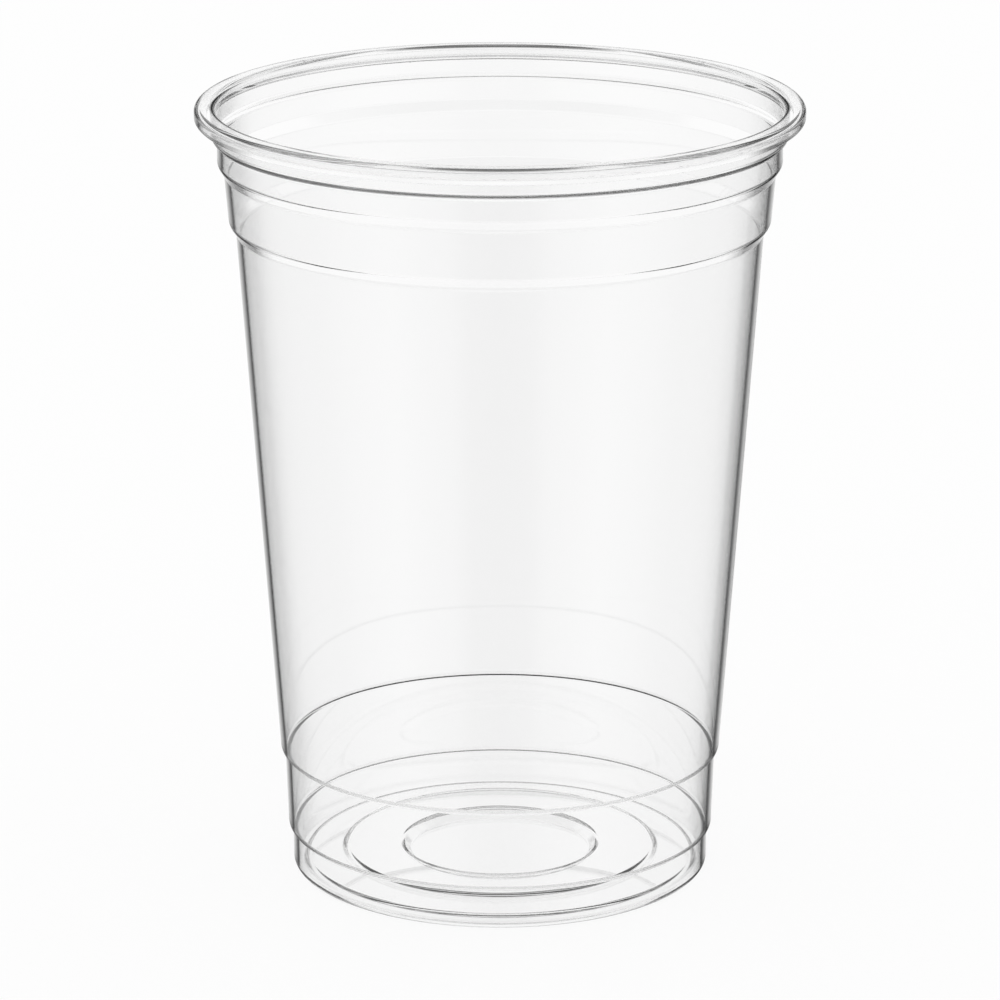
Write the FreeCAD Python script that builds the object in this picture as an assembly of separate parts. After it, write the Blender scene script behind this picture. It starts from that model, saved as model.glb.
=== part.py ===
import FreeCAD, Part
import math
import os

os.makedirs("parts", exist_ok=True)

# A clear disposable drinking cup, formed in one piece from plastic sheet.
# Its whole shape is one section, turned about the upright axis. Lengths are in millimetres.
# Radii are to the outside of the sheet, and heights are to its underside.

# The sheet
SHEET = 0.85                # thickness, the same all over
BEND_SHARE = 0.49           # the most of a short run that one bend may use

# The rolled rim
RIM_RADIUS = 49.0           # outermost part of the cup, where a lid is pressed on
RIM_REACH = 3.6             # how far the roll stands out from the neck
RIM_DEPTH = 2.7             # from the top of the roll to its underside
RIM_BEND = 1.0              # outside radius of the roll's two outer edges
LIP_BEND = 0.9              # outside radius of the inner edge that touches the mouth
CURL_GAP = 0.5              # space between the curled-in edge and the lip

# The lip, the ledge under it and the neck
LIP_HEIGHT = 4.9            # from the ledge to the top of the rim
LIP_FLARE = 0.1             # how far the lip leans outward
LEDGE_RISE = 0.5
LEDGE_INSET = 1.0
LEDGE_BEND = 1.0            # inside radius of its two bends, as far as its length allows
NECK_HEIGHT = 3.7

# Upper shoulder, stacking band and second shoulder
SHOULDER_1_RISE = 1.8
SHOULDER_1_INSET = 1.05
SHOULDER_1_BEND = 0.5       # inside radius of its two bends
STACK_BAND_HEIGHT = 7.8
STACK_BAND_TAPER = 0.65
SHOULDER_2_RISE = 1.8
SHOULDER_2_INSET = 1.15
SHOULDER_2_BEND = 0.8       # inside radius of its two bends

# The long wall
WALL_HEIGHT = 87.4
WALL_TAPER = 6.25

# Third shoulder, lower band, fourth shoulder and foot band
LOW_BEND = 1.0              # inside radius of the low shoulders' bends, as far as their length allows
SHOULDER_3_RISE = 0.2
SHOULDER_3_INSET = 0.7
LOWER_BAND_HEIGHT = 13.15
LOWER_BAND_TAPER = 0.45
SHOULDER_4_RISE = 0.2
SHOULDER_4_INSET = 0.7
FOOT_BAND_HEIGHT = 6.85
FOOT_BAND_TAPER = 0.1
FOOT_BEND = 1.0             # outside radius of the foot's lower edge

# The floor, from the foot inward
FOOT_WIDTH = 1.9            # the ring that the cup stands on, bends included
GUTTER_RISE = 1.0           # height of the gutter's outer edge above the standing ring
GUTTER_LEAN = 0.5           # how far the foot's inner leg leans inward
GUTTER_WIDTH = 5.9
GUTTER_SLOPE = 0.4          # how much the gutter rises on its way inward
PLATE_RISE = 0.7            # from the gutter up to the raised plate
PLATE_EDGE = 0.6            # width of that slope
PLATE_WIDTH = 9.2
DISC_DEPTH = 1.3            # how far the middle disc is pressed down from the plate
DISC_EDGE = 1.2             # width of that slope
FLOOR_BEND = 0.3            # inside radius of the floor's bends


def centre_line():
    """Corners of the sheet's middle line as (radius, height, bend radius), from the axis to the curl."""
    half = SHEET / 2
    bend = FLOOR_BEND + half
    low_bend = LOW_BEND + half
    shoulder_2_bend = SHOULDER_2_BEND + half
    shoulder_1_bend = SHOULDER_1_BEND + half
    ledge_bend = LEDGE_BEND + half
    neck = RIM_RADIUS - RIM_REACH

    # Radii of the outside, from the neck down
    stack_top = neck - SHOULDER_1_INSET
    stack_foot = stack_top - STACK_BAND_TAPER
    wall_top = stack_foot - SHOULDER_2_INSET
    wall_foot = wall_top - WALL_TAPER
    lower_top = wall_foot - SHOULDER_3_INSET
    lower_foot = lower_top - LOWER_BAND_TAPER
    foot_top = lower_foot - SHOULDER_4_INSET
    foot = foot_top - FOOT_BAND_TAPER

    # Radii of the floor, from the foot inward
    leg_foot = foot - FOOT_WIDTH
    leg_top = leg_foot - GUTTER_LEAN
    gutter = leg_top - GUTTER_WIDTH
    plate = gutter - PLATE_EDGE
    disc_edge = plate - PLATE_WIDTH
    disc = disc_edge - DISC_EDGE

    # Heights of the floor's underside, from the foot inward
    gutter_out = GUTTER_RISE
    gutter_in = gutter_out + GUTTER_SLOPE
    plate_height = gutter_in + PLATE_RISE
    disc_height = plate_height - DISC_DEPTH

    # Heights of the corners, from the foot up
    shoulder_4 = FOOT_BAND_HEIGHT
    lower_band = shoulder_4 + SHOULDER_4_RISE
    shoulder_3 = lower_band + LOWER_BAND_HEIGHT
    wall = shoulder_3 + SHOULDER_3_RISE
    shoulder_2 = wall + WALL_HEIGHT
    stack_band = shoulder_2 + SHOULDER_2_RISE
    shoulder_1 = stack_band + STACK_BAND_HEIGHT
    neck_foot = shoulder_1 + SHOULDER_1_RISE
    ledge = neck_foot + NECK_HEIGHT
    lip_foot = ledge + LEDGE_RISE
    top = lip_foot + LIP_HEIGHT
    underside = top - RIM_DEPTH

    lip_low = neck + LEDGE_INSET
    lip = lip_low + LIP_FLARE
    curl = lip + CURL_GAP

    floor = [
        (0, disc_height + half, 0),
        (disc, disc_height + half, bend),
        (disc_edge, plate_height + half, bend),
        (plate, plate_height + half, bend),
        (gutter, gutter_in + half, bend),
        (leg_top, gutter_out + half, bend),
        (leg_foot, half, bend),
        (foot - half, half, FOOT_BEND - half),
    ]
    side = [
        (foot_top - half, shoulder_4, low_bend),
        (lower_foot - half, lower_band, low_bend),
        (lower_top - half, shoulder_3, low_bend),
        (wall_foot - half, wall, low_bend),
        (wall_top - half, shoulder_2, shoulder_2_bend),
        (stack_foot - half, stack_band, shoulder_2_bend),
        (stack_top - half, shoulder_1, shoulder_1_bend),
        (neck - half, neck_foot, shoulder_1_bend),
        (neck - half, ledge, ledge_bend),
        (lip_low - half, lip_foot, ledge_bend),
    ]
    rim = [
        (lip - half, top - half, LIP_BEND - half),
        (RIM_RADIUS - half, top - half, RIM_BEND - half),
        (RIM_RADIUS - half, underside + half, RIM_BEND - half),
        (curl, underside + half, 0),
    ]
    return floor + side + rim


def flat(radius, height):
    """A point of the section, which lies in the XZ plane."""
    return FreeCAD.Vector(radius, 0, height)


def bent_side(corners, shift):
    """Edges of the line that runs beside the corners, shifted to the left of their direction."""
    edges = []
    start = None
    for i, (radius, height, bend) in enumerate(corners):
        here = flat(radius, height)
        before = here - flat(*corners[i - 1][:2]) if i > 0 else None
        after = flat(*corners[i + 1][:2]) - here if i + 1 < len(corners) else None
        if before is None:
            start = here + left_of(after) * shift
            continue
        if after is None:
            edges.append(Part.makeLine(start, here + left_of(before) * shift))
            continue
        turn = signed_turn(before, after)
        room = BEND_SHARE * min(before.Length, after.Length) / math.tan(abs(turn) / 2)
        bend = min(bend, room)
        setback = bend * math.tan(abs(turn) / 2)
        way = math.copysign(1, turn)
        arc_start = here - unit(before) * setback
        arc_end = here + unit(after) * setback
        centre = arc_start + left_of(before) * bend * way
        middle = centre + unit(here - centre) * (bend - shift * way)
        line_end = arc_start + left_of(before) * shift
        next_start = arc_end + left_of(after) * shift
        edges.append(Part.makeLine(start, line_end))
        edges.append(Part.Arc(line_end, middle, next_start).toShape())
        start = next_start
    return edges


def unit(vector):
    return FreeCAD.Vector(vector).normalize()


def left_of(direction):
    """Unit vector to the left of a direction in the section, seen with radius right and height up."""
    return flat(-direction.z, direction.x).normalize()


def signed_turn(before, after):
    """Angle from one run to the next, positive where the path turns left."""
    cross = before.x * after.z - before.z * after.x
    along = before.x * after.x + before.z * after.z
    return math.atan2(cross, along)


def ends(edges):
    """First and last point of a chain of edges."""
    return edges[0].Vertexes[0].Point, edges[-1].Vertexes[-1].Point


def make_cup():
    """The section of the sheet, turned once about the upright axis."""
    corners = centre_line()
    inner = bent_side(corners, SHEET / 2)
    outer = bent_side(corners, -SHEET / 2)
    inner_start, inner_end = ends(inner)
    outer_start, outer_end = ends(outer)
    closing = [Part.makeLine(inner_end, outer_end), Part.makeLine(inner_start, outer_start)]
    section = Part.Face(Part.Wire(Part.__sortEdges__(inner + outer + closing)))
    return section.revolve(FreeCAD.Vector(0, 0, 0), FreeCAD.Vector(0, 0, 1), 360)


cup = make_cup()
cup.exportStep("parts/cup.step")

print("cup: valid", cup.isValid(), "solids", len(cup.Solids), "faces", len(cup.Faces))
print("cup: across", 2 * RIM_RADIUS, "volume %.0f" % cup.Volume)
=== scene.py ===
# %% [markdown]
# A clear disposable cup is one thin sheet of plastic, softened by heat and drawn down into a mould.
# Nothing on it is painted: all that the eye gets is how the sheet bends, and what it mirrors.
# So this lesson has three parts: the section of the sheet, the clear plastic, and the small
# studio that the plastic shows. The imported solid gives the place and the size, so it comes first.

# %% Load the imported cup
import cmath
import math

import bpy
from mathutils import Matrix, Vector


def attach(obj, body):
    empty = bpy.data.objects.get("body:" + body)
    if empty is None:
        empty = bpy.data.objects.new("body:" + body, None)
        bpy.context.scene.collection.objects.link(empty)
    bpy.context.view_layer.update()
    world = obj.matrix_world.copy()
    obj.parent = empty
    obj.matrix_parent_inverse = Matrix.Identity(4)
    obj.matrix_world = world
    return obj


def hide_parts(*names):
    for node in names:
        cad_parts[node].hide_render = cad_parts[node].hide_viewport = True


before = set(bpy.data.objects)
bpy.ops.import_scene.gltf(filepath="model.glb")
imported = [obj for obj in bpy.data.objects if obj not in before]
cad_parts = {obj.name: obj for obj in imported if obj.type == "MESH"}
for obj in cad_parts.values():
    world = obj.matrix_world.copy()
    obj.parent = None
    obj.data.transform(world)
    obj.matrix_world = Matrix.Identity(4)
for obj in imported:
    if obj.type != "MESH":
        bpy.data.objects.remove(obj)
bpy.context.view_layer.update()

# %% [markdown]
# The sheet is drawn as the line that runs down its middle, with a bend at each corner.
# All radii and heights follow from a few sizes that a mould maker would give, in millimetres.
# A drawn outline could hold the same shape, but then a thicker sheet or a wider rim would mean
# drawing it again. The rim comes first: the sheet is rolled outward, so that the mouth has a
# smooth lip and a lid has an edge to grip. A small ledge under the lip widens the mouth.

# %% Sizes of the rim and the lip
MM = 0.001                # the scene is in metres
SHEET = 0.85              # thickness, the same all over

RIM_RADIUS = 49.0         # outermost part of the cup
RIM_REACH = 3.6           # how far the roll stands out from the neck
RIM_DEPTH = 2.7           # from the top of the roll to its underside
RIM_BEND = 1.0            # outside radius of the roll's two outer edges
LIP_BEND = 0.9            # outside radius of the inner edge that touches the mouth
CURL_GAP = 0.5            # space between the curled-in edge and the lip

LIP_HEIGHT = 4.9          # from the ledge to the top of the rim
LIP_FLARE = 0.1           # how far the lip leans outward
LEDGE_INSET = 1.0
LEDGE_RISE = 0.5
LEDGE_BEND = 1.0          # inside radius of its two bends, as far as its length allows
NECK_HEIGHT = 3.7

LIP_RADIUS = RIM_RADIUS - RIM_REACH + LEDGE_INSET + LIP_FLARE
print("mouth", round(2 * (LIP_RADIUS - SHEET), 2), "mm wide inside the lip")

# %% [markdown]
# Below the neck the wall steps in four times. The two upper steps let cups stack without
# jamming, and the two lower ones stiffen the foot. Each step is written as (how far in, how far
# down, inside radius of its two bends), and each band between two steps as (taper, height).
# A bend is made smaller where a short step has no room for it. Even a small change of a bend
# shows, because a bend is where the light turns.

# %% Sizes of the steps, bands and floor
SHOULDER_1 = (1.05, 1.8, 0.5)
STACK_BAND = (0.65, 7.8)
SHOULDER_2 = (1.15, 1.8, 0.8)
WALL = (6.25, 87.4)
SHOULDER_3 = (0.7, 0.2, 1.0)
LOWER_BAND = (0.45, 13.15)
SHOULDER_4 = (0.7, 0.2, 1.0)
FOOT_BAND = (0.1, 6.85)
SHOULDERS = [SHOULDER_1, SHOULDER_2, SHOULDER_3, SHOULDER_4]
BANDS = [STACK_BAND, WALL, LOWER_BAND, FOOT_BAND]
NECK_FOOT = sum(part[1] for part in BANDS + SHOULDERS)
FOOT_BEND = 1.0           # outside radius of the foot's lower edge

FOOT_WIDTH = 1.9          # the ring that the cup stands on, bends included
GUTTER_RISE = 1.0         # height of the gutter's outer edge above the standing ring
GUTTER_LEAN = 0.5         # how far the foot's inner leg leans inward
GUTTER_WIDTH = 5.9
GUTTER_SLOPE = 0.4        # how much the gutter rises on its way inward
PLATE_RISE = 0.7          # from the gutter up to the raised plate
PLATE_EDGE = 0.6          # width of that slope
PLATE_WIDTH = 9.2
DISC_DEPTH = 1.3          # how far the middle disc is pressed down from the plate
DISC_EDGE = 1.2           # width of that slope
FLOOR_BEND = 0.3          # inside radius of the floor's bends

print("steps and bands", len(SHOULDERS + BANDS), "with the neck's foot at", round(NECK_FOOT, 2), "mm")

# %% [markdown]
# Complex numbers make plane geometry short: a point of the section is radius + height * 1j,
# and a quarter turn is a product with 1j. The corners run from the axis out along the floor,
# up the side and round the rim to the curled-in edge.


# %% Corners of the sheet's middle line
def side_corners(top_radius, half):
    """Corners from the foot up to the neck, found by stepping down from the neck."""
    outside = complex(top_radius, NECK_FOOT)
    side = []
    for (inset, drop, bend), (taper, height) in zip(SHOULDERS, BANDS):
        side.insert(0, (outside - half, bend + half))
        outside -= complex(inset, drop)
        side.insert(0, (outside - half, bend + half))
        outside -= complex(taper, height)
    side.insert(0, (complex(outside.real - half, half), FOOT_BEND - half))
    return side


def rim_corners(neck, half):
    """Corners of the ledge, the lip and the roll above the neck, whose foot is the given corner."""
    ledge = neck + NECK_HEIGHT * 1j
    lip_foot = ledge + complex(LEDGE_INSET, LEDGE_RISE)
    lip = lip_foot.real + LIP_FLARE
    outer = RIM_RADIUS - half
    top = lip_foot.imag + LIP_HEIGHT - half
    low = top + 2 * half - RIM_DEPTH
    return [
        (ledge, LEDGE_BEND + half),
        (lip_foot, LEDGE_BEND + half),
        (complex(lip, top), LIP_BEND - half),
        (complex(outer, top), RIM_BEND - half),
        (complex(outer, low), RIM_BEND - half),
        (complex(lip + half + CURL_GAP, low), 0),
    ]


def floor_corners(foot_radius, half):
    """Corners of the floor, from the axis out to the foot's inner leg."""
    leg_foot = foot_radius - FOOT_WIDTH
    leg_top = leg_foot - GUTTER_LEAN
    gutter = leg_top - GUTTER_WIDTH
    plate = gutter - PLATE_EDGE
    disc_edge = plate - PLATE_WIDTH
    disc = disc_edge - DISC_EDGE
    gutter_in = GUTTER_RISE + GUTTER_SLOPE
    plate_height = gutter_in + PLATE_RISE
    disc_height = plate_height - DISC_DEPTH
    undersides = [
        (0, disc_height), (disc, disc_height), (disc_edge, plate_height), (plate, plate_height),
        (gutter, gutter_in), (leg_top, GUTTER_RISE), (leg_foot, 0)]
    return [(complex(radius, height + half), FLOOR_BEND + half) for radius, height in undersides]


half = SHEET / 2
side = side_corners(RIM_RADIUS - RIM_REACH, half)
rim = rim_corners(side[-1][0], half)
bottom = floor_corners(side[0][0].real + half, half)
corners = bottom + side + rim
cup_height = max(point.imag for point, bend in corners) + half
print("corners", len(corners), "and the cup's height", round(cup_height, 2), "mm")

# %% [markdown]
# Each face of the sheet runs beside the middle line. At a bend both faces turn about the same
# centre, so the sheet keeps its thickness. The true direction of the face is kept with each
# point, because clear plastic shows the smallest error in a surface's normals.

# %% Faces of the sheet
ARC_STEP = math.radians(13)     # the most that a bend turns from one point to the next
BEND_SHARE = 0.49               # the most of a short run that one bend may use


def face_of_sheet(corners, shift):
    """Points and outward normals of the face that runs beside the corners, shifted to their left."""
    points = []
    facing = math.copysign(1, shift)
    for i, (here, bend) in enumerate(corners):
        before = here - corners[i - 1][0] if i > 0 else None
        after = corners[i + 1][0] - here if i + 1 < len(corners) else None
        if before is None or after is None:
            left = (after or before) / abs(after or before) * 1j
            points.append((here + left * shift, left * facing))
            continue
        turn = cmath.phase(after / before)
        half_turn = math.tan(abs(turn) / 2)
        bend = min(bend, BEND_SHARE * min(abs(before), abs(after)) / half_turn)
        way = math.copysign(1, turn)
        left = before / abs(before) * 1j
        centre = here - before / abs(before) * bend * half_turn + left * bend * way
        steps = max(1, math.ceil(abs(turn) / ARC_STEP))
        for k in range(steps + 1):
            spun = left * cmath.exp(1j * turn * k / steps)
            points.append((centre - spun * (bend * way - shift), spun * facing))
    return points


inside = face_of_sheet(corners, half)
outside = face_of_sheet(corners, -half)
print("points on the inside face", len(inside), "and on the outside face", len(outside))

# %% [markdown]
# The section is turned about the upright axis. A Screw modifier could do that too, but it takes
# its normals from the facets. So the mesh is made by hand, ring by ring, and each ring takes the
# exact normals of the section. The two faces end in one point each on the axis, and meet in a
# narrow cut edge at the end of the curl.

# %% Turn the section
SEGMENTS = 400
ON_AXIS = 1e-9            # mm: a point nearer to the axis than this lies on it


def turned(section, segments):
    """Vertices, faces and normals of the section turned about Z. On the axis a ring is one point."""
    vertices, normals, rings = [], [], []
    for point, normal in section:
        ring = []
        count = 1 if abs(point.real) < ON_AXIS else segments
        for k in range(count):
            angle = 2 * math.pi * k / segments
            way = Vector((math.cos(angle), math.sin(angle), 0))
            ring.append(len(vertices))
            vertices.append((way * point.real + Vector((0, 0, point.imag))) * MM)
            normals.append(way * normal.real * (count > 1) + Vector((0, 0, normal.imag)))
        rings.append(ring)
    faces = []
    for low, high in zip(rings, rings[1:]):
        for k in range(segments):
            a, b = low[k % len(low)], low[(k + 1) % len(low)]
            c, d = high[(k + 1) % len(high)], high[k % len(high)]
            faces.append([v for n, v in enumerate((a, b, c, d)) if v not in (a, b, c, d)[:n]])
    return vertices, faces, normals


vertices, faces, normals = turned(outside + inside[::-1], SEGMENTS)
mesh = bpy.data.meshes.new("clear_cup")
mesh.from_pydata(vertices, [], faces)
mesh.validate()
mesh.shade_smooth()
mesh.normals_split_custom_set_from_vertices([n.normalized() for n in normals])
cup = bpy.data.objects.new("clear_cup", mesh)
bpy.context.scene.collection.objects.link(cup)
triangles = sum(len(face.vertices) - 2 for face in mesh.polygons)
print("cup mesh", len(mesh.vertices), "points", triangles, "triangles")

# %% [markdown]
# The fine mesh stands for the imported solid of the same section, whose facets would show as
# stripes in clear plastic. It rides on the one body that the cup has.

# %% Put the mesh in the solid's place
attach(cup, "root")
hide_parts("cup")
print(cup.name, "stands for the packed node cup")

# %% [markdown]
# Shader maths reads best as plain arithmetic. This small class wraps a node's socket, and each
# operator adds the Math node that it stands for. The reflected forms let a number come first,
# as in 1 - mask. Any other node comes from one method, which takes its type, its settings and
# what goes into its sockets.


# %% A socket that does arithmetic
class Wire:
    """A node socket in a tree, with the arithmetic operators for values."""

    def __init__(self, tree, socket=None):
        self.tree = tree
        self.socket = socket

    def node(self, kind, output, settings=None, **inputs):
        """Adds a node and sets its sockets, by name with _ for a space, or by place as i0, i1."""
        made = self.tree.nodes.new(kind)
        for name, value in (settings or {}).items():
            if name == "stops":
                fill_ramp(made.color_ramp, value)
            else:
                setattr(made, name, value)
        for name, value in inputs.items():
            key = int(name[1:]) if name[1:].isdigit() else name.replace("_", " ")
            if isinstance(value, Wire):
                self.tree.links.new(value.socket, made.inputs[key])
            else:
                made.inputs[key].default_value = value
        return Wire(self.tree, made.outputs[output] if output is not None else None)

    def also(self, output):
        """Another output of the same node."""
        return Wire(self.tree, self.socket.node.outputs[output])

    def math(self, operation, first, second=0.0):
        """A Math node that works on wires or numbers."""
        return self.node("ShaderNodeMath", 0, {"operation": operation}, i0=first, i1=second)

    def __add__(self, other):
        return self.math("ADD", self, other)

    def __radd__(self, other):
        return self.math("ADD", other, self)

    def __sub__(self, other):
        return self.math("SUBTRACT", self, other)

    def __rsub__(self, other):
        return self.math("SUBTRACT", other, self)

    def __mul__(self, other):
        return self.math("MULTIPLY", self, other)

    def __rmul__(self, other):
        return self.math("MULTIPLY", other, self)

    def __truediv__(self, other):
        return self.math("DIVIDE", self, other)

    def __rtruediv__(self, other):
        return self.math("DIVIDE", other, self)

    def __gt__(self, other):
        return self.math("GREATER_THAN", self, other)

    def __lt__(self, other):
        return self.math("LESS_THAN", self, other)


def fill_ramp(ramp, stops):
    """Sets a colour ramp to (place, grey) stops."""
    while len(ramp.elements) > 1:
        ramp.elements.remove(ramp.elements[0])
    for n, (place, grey) in enumerate(stops):
        element = ramp.elements[0] if n == 0 else ramp.elements.new(place)
        element.position = place
        element.color = (grey, grey, grey, 1)


def start_tree(holder):
    """Turns on the nodes of a material or a world, and gives a wire into its empty tree."""
    holder.use_nodes = True
    holder.node_tree.nodes.clear()
    return Wire(holder.node_tree)


print("a wire knows + - * / < >")

# %% [markdown]
# The plastic is colourless and clear, a little more refractive than window glass. All the light
# is let through or mirrored, so the Principled shader needs full transmission and no roughness.
# A drawn sheet is never quite even: as it stretches down the mould it keeps soft waves that run
# along the wall, and a finer ripple from the mould's surface. Two noises make that height, the
# first one squeezed so that its waves run up and down, and a Bump node turns it into normals.

# %% Clear plastic
REFRACTION = 1.575
WAVES_ACROSS = 160        # noise cells in each metre around the wall
WAVE_SQUEEZE = 0.12       # the share of those cells that a metre up the wall has
WAVE_DETAIL = 1.0
RIPPLES_ACROSS = 900      # noise cells in each metre, every way
RIPPLE_DETAIL = 2.0
RIPPLE_SHARE = 0.08       # height of the ripple beside that of the waves
WAVE_HEIGHT = 4e-7        # metres, for a full step of the noise

plastic = bpy.data.materials.new("clear_plastic")
shader = start_tree(plastic)
place = shader.node("ShaderNodeTexCoord", "Object")
along = shader.node(
    "ShaderNodeVectorMath", "Vector", {"operation": "MULTIPLY"}, i0=place, i1=(1, 1, WAVE_SQUEEZE))
waves = shader.node("ShaderNodeTexNoise", 0, Vector=along, Scale=WAVES_ACROSS, Detail=WAVE_DETAIL)
ripple = shader.node("ShaderNodeTexNoise", 0, Vector=place, Scale=RIPPLES_ACROSS, Detail=RIPPLE_DETAIL)
height = waves + ripple * RIPPLE_SHARE
uneven = shader.node("ShaderNodeBump", "Normal", Height=height, Strength=1.0, Distance=WAVE_HEIGHT)
clear = shader.node(
    "ShaderNodeBsdfPrincipled", "BSDF",
    Base_Color=(1, 1, 1, 1), Roughness=0.0, IOR=REFRACTION, Transmission_Weight=1.0, Normal=uneven)
shader.node("ShaderNodeOutputMaterial", None, Surface=clear)
mesh.materials.append(plastic)
print("clear plastic: refractive index", REFRACTION, "and", len(plastic.node_tree.nodes), "nodes")

# %% [markdown]
# Clear things are photographed against a bright ground, with darker surroundings that draw
# their edges. Cards and lamps could stand round the cup for that, but they would show through
# the clear wall from other sides, so the world itself has two readings. What is seen straight,
# or through the sheet, is white. What the sheet mirrors is a soft grey studio, which depends on
# the direction alone. Light Path's Glossy Depth tells the two apart: it counts how often a ray
# was mirrored. The walls mirror a band just under the horizon, where the grey goes by the
# compass: bright behind the cup, with a narrow dark flag on each side for the wall's edges.

# %% The studio by compass direction
def by_azimuth(pairs):
    """Ramp stops from (azimuth in degrees, grey): 0 is straight behind the cup, and + is right."""
    return [(azimuth / 360 + 0.5, grey) for azimuth, grey in pairs]


BESIDE = by_azimuth([
    (-180, .40), (-166, .46), (-157, .62), (-130, .79), (-106, .71), (-90, .65), (-50, .66),
    (-29, .4), (-26, .03), (-23, .08), (-20, .27), (-15, .48), (-10, .64), (-4, 1), (4, 1),
    (10, .64), (15, .48), (20, .27), (23, .08), (28, .04), (36, .2), (42, .45), (50, .66), (60, .7),
    (90, .65), (106, .71), (130, .79), (157, .62), (166, .46), (180, .40)])


def greys(tree, stops, place):
    """The grey that a ramp with these stops has at a place from 0 to 1."""
    return tree.node("ShaderNodeValToRGB", "Color", {"stops": stops}, Fac=place)


world = bpy.data.worlds.new("studio")
bpy.context.scene.world = world
sky = start_tree(world)
east = sky.node("ShaderNodeSeparateXYZ", "X", Vector=sky.node("ShaderNodeTexCoord", "Generated"))
north, up = east.also("Y"), east.also("Z")
turn = sky.math("ARCTAN2", east, north) / (2 * math.pi) + 0.5
beside = greys(sky, BESIDE, turn)
print("stops round the compass", len(BESIDE))

# %% [markdown]
# The rim, the steps and the floor mirror what is higher and lower. There the grey goes by
# height instead: one ramp for the side behind the cup, one for the room behind the camera,
# blended by how far north the ray looks. A third ramp says at which heights they take over.
# The Glossy Depth of a ray that was never mirrored is 0, and for that ray the world is white.


# %% The studio by height
def by_elevation(pairs):
    """Ramp stops from (elevation in degrees, grey); 0 is the horizon, and + is up."""
    return [(elevation / 180 + 0.5, grey) for elevation, grey in pairs]


BACKDROP = by_elevation([
    (-90, 1), (-30, 1), (-16, .7), (-6, .5), (-3, .1), (8, .1),
    (11, 1), (30, 1), (34, .4), (50, .25), (70, .6), (90, .5)])
ROOM = by_elevation([
    (-90, 1), (-70, .9), (-60, 1), (-35, 1), (-25, .65), (-15, .43), (0, .15),
    (10, .2), (20, .7), (30, .7), (37, .5), (45, .05), (70, .05), (90, .5)])
LEVEL = by_elevation([(-90, 1), (-35, 1), (-27, 0), (-5, 0), (3, 1), (90, 1)])
WHITE = (1, 1, 1, 1)


def blended(tree, share, first, second):
    """Two colours mixed. A Mix node has its colours at places 6 and 7, and gives the mix at place 2."""
    return tree.node("ShaderNodeMix", 2, {"data_type": "RGBA"}, i0=share, i6=first, i7=second)


climb = sky.math("ARCSINE", up) / math.pi + 0.5
backdrop, room, level = [greys(sky, stops, climb) for stops in (BACKDROP, ROOM, LEVEL)]
steep = blended(sky, 0.5 - north * 0.5, backdrop, room)
around = blended(sky, level, beside, steep)
straight = sky.node("ShaderNodeLightPath", "Glossy Depth") < 0.5
seen = blended(sky, straight, around, WHITE)
back = sky.node("ShaderNodeBackground", "Background", Color=seen, Strength=1.0)
sky.node("ShaderNodeOutputWorld", None, Surface=back)
print("studio", len(world.node_tree.nodes), "nodes")

# %% [markdown]
# The floor is one sheet of pale paper. Most of its light is its own, at the strength of white,
# and the rest is what falls on it, so that the cup's faint shadow stays. Mirrored rays pass
# through it and reach the studio instead.

# %% Floor
FLOOR_HALF = 3.0          # metres from the cup to each edge of the paper
PAPER_GREY = (0.98, 0.98, 0.98, 1)
PAPER_GLOW = 0.99
PAPER_SHARE = 0.92        # how much of the paper's light is its own

far = FLOOR_HALF
paper_corners = [(-far, -far, 0), (far, -far, 0), (far, far, 0), (-far, far, 0)]
floor_mesh = bpy.data.meshes.new("floor")
floor_mesh.from_pydata(paper_corners, [], [(0, 1, 2, 3)])
floor = bpy.data.objects.new("floor", floor_mesh)
bpy.context.scene.collection.objects.link(floor)

floor_paper = bpy.data.materials.new("floor")
floor_mesh.materials.append(floor_paper)
paper = start_tree(floor_paper)
lit = paper.node("ShaderNodeBsdfDiffuse", "BSDF", Color=PAPER_GREY)
glow = paper.node("ShaderNodeEmission", "Emission", Color=WHITE, Strength=PAPER_GLOW)
both = paper.node("ShaderNodeMixShader", 0, Fac=PAPER_SHARE, i1=lit, i2=glow)
mirrored = paper.node("ShaderNodeLightPath", "Glossy Depth") > 0.5
through = paper.node("ShaderNodeBsdfTransparent", "BSDF")
shown = paper.node("ShaderNodeMixShader", 0, Fac=mirrored, i1=both, i2=through)
paper.node("ShaderNodeOutputMaterial", None, Surface=shown)
print("floor", 2 * FLOOR_HALF, "m wide")

# %% [markdown]
# The photograph was taken with a long lens from a little above. Its pitch and distance follow
# from the ellipses of the rim and the foot: the rim's is flatter than the foot's by just as
# much as the camera is near. The camera aims at a point of the axis near half the cup's height.

# %% Camera
PITCH = math.radians(16.48)       # how far the camera looks down
DISTANCE = 0.849                  # metres from the camera to the point it aims at
AIM = Vector((0, 0, 0.06183))     # metres, on the cup's axis
LENS = 186.67                     # mm
SENSOR = 36.0                     # mm

camera_data = bpy.data.cameras.new("camera")
camera_data.sensor_width = SENSOR
camera_data.lens = LENS
camera = bpy.data.objects.new("camera", camera_data)
bpy.context.scene.collection.objects.link(camera)
camera.location = AIM - Vector((0, math.cos(PITCH), -math.sin(PITCH))) * DISTANCE
camera.rotation_euler = (math.pi / 2 - PITCH, 0, 0)
bpy.context.scene.camera = camera
print("camera at", [round(v, 3) for v in camera.location])

# %% [markdown]
# Light that gets into the edge of a sheet runs along inside it, mirrored many times before it
# comes out. If the ray is given up too early, such places turn black, so this scene allows
# many more bounces than usual. The Standard view shows each grey as it is written.

# %% How the picture is made
bpy.context.scene.view_settings.view_transform = "Standard"
cycles = bpy.context.scene.cycles
cycles.max_bounces = 32
cycles.glossy_bounces = 16
cycles.transmission_bounces = 24
print("bounces", cycles.max_bounces)
